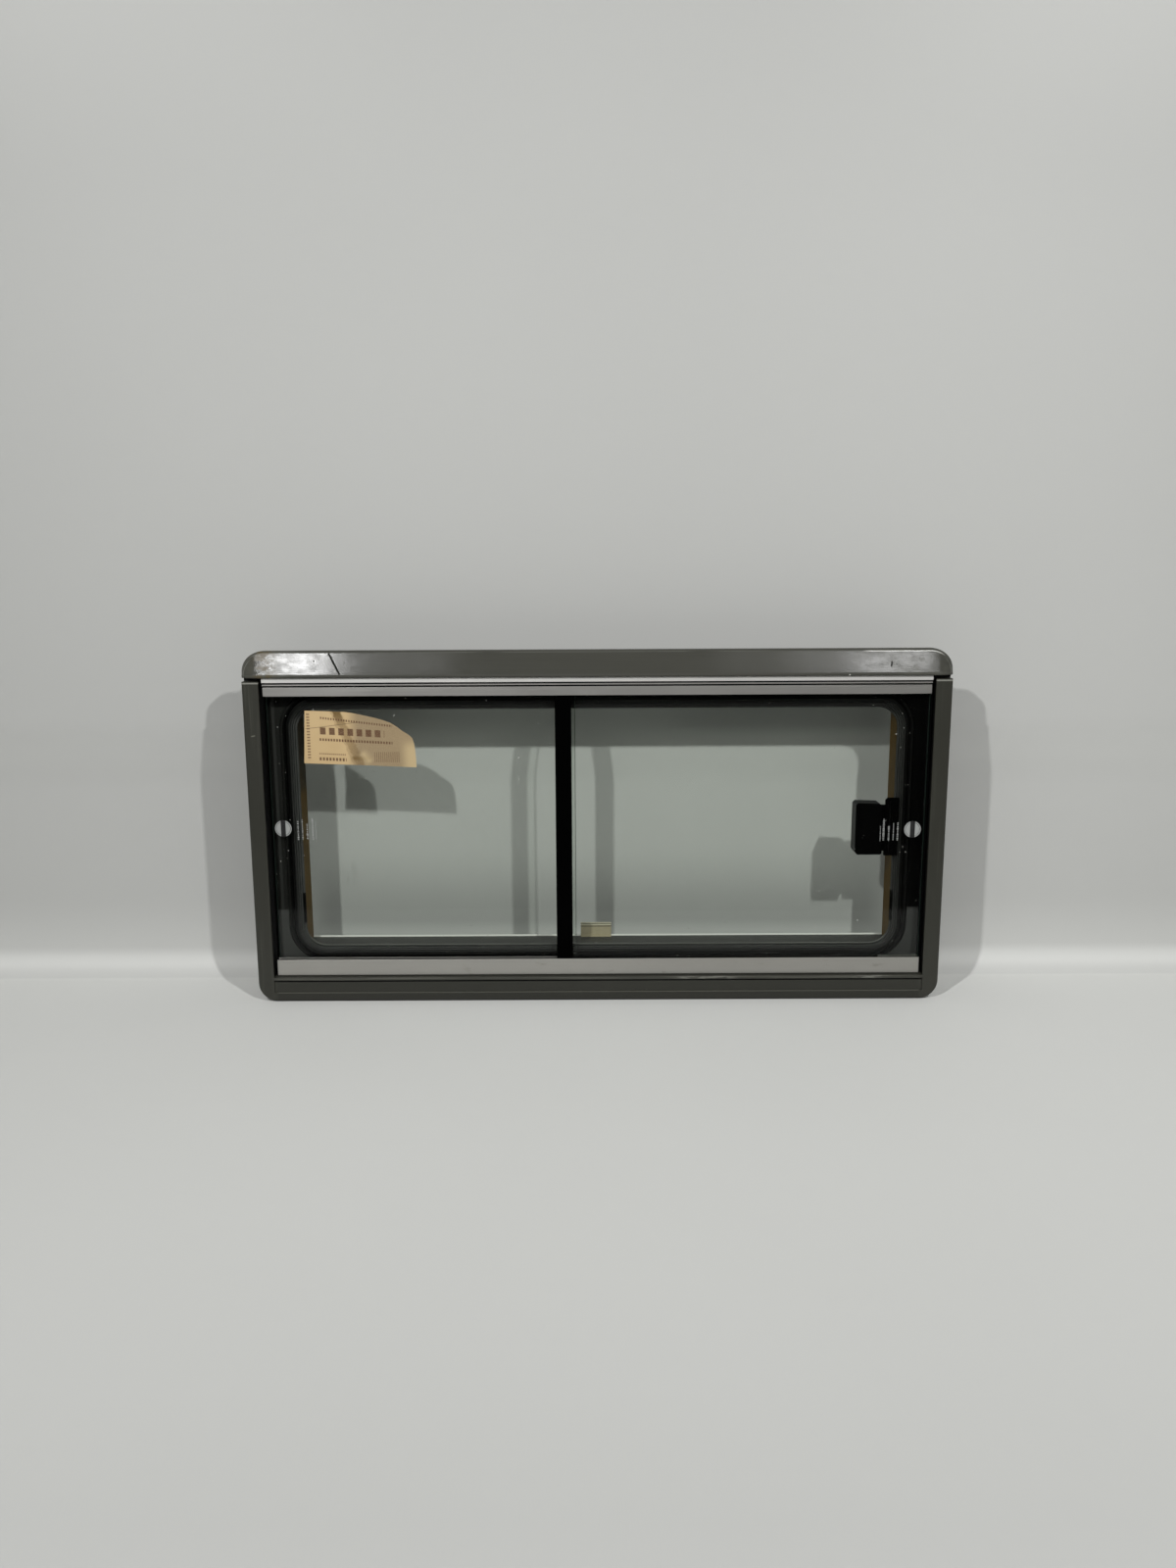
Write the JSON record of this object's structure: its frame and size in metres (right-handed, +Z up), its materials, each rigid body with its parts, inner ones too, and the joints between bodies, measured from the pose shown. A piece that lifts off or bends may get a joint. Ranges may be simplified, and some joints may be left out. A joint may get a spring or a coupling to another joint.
{
  "type": "sliding caravan window",
  "caption": "Framed sliding window for a caravan wall: moulded outer frame with a drip hood, aluminium twin tracks, sliding glass panes, gasket ring and latch.",
  "frame": {"origin": "on the back face of the outer flange, at the middle of the bottom line of the wall cut-out", "axes": "+X to the right seen from outside, +Y inwards through the wall, +Z up"},
  "size_m": [0.941, 0.066, 0.482],
  "materials": {
    "moulded_grey": "fine grained olive grey foam moulding",
    "hood_grey": "satin olive grey moulding, slightly worn",
    "dark_plate": "dark grey drawn strip with faint streaks",
    "brown_strip": "raw brown board edge",
    "grey_lining": "plain grey lining",
    "ribbed_rubber": "ribbed grey rubber",
    "black_rubber": "soft black rubber",
    "satin_aluminium": "satin anodised aluminium",
    "tinted_glass": "lightly tinted safety glass",
    "glide_plastic": "black sliding plastic",
    "stile_black": "smooth black profile",
    "brush_pile": "black pile weatherstrip",
    "latch_black": "black moulded plastic",
    "pale_trim": "pale grey edge strip",
    "clip_beige": "aged beige plastic"
  },
  "bodies": {
    "root": {"outer_frame": "moulded_grey", "top_hood": "hood_grey", "plate_left": "dark_plate", "plate_right": "dark_plate", "plate_sill": "dark_plate", "plate_head": "dark_plate", "lining_left": "brown_strip", "lining_right": "brown_strip", "lining_sill": "grey_lining", "lining_head": "grey_lining", "gasket_bead": "ribbed_rubber", "gasket_lip": "black_rubber", "bottom_track": "satin_aluminium", "top_track": "satin_aluminium", "outer_pane": "tinted_glass", "inner_pane": "tinted_glass", "outer_glides": "glide_plastic", "inner_glides": "glide_plastic", "meeting_stile": "stile_black", "stile_brush": "brush_pile", "jamb_seal_left": "black_rubber", "jamb_seal_right": "black_rubber", "latch_pad": "black_rubber", "latch_body": "latch_black", "latch_bolt": "latch_black", "latch_lever": "latch_black", "latch_keeper": "latch_black", "buffer_left": "black_rubber", "buffer_right": "black_rubber", "sill_trim": "pale_trim", "sill_clip": "clip_beige"}
  },
  "joints": []
}
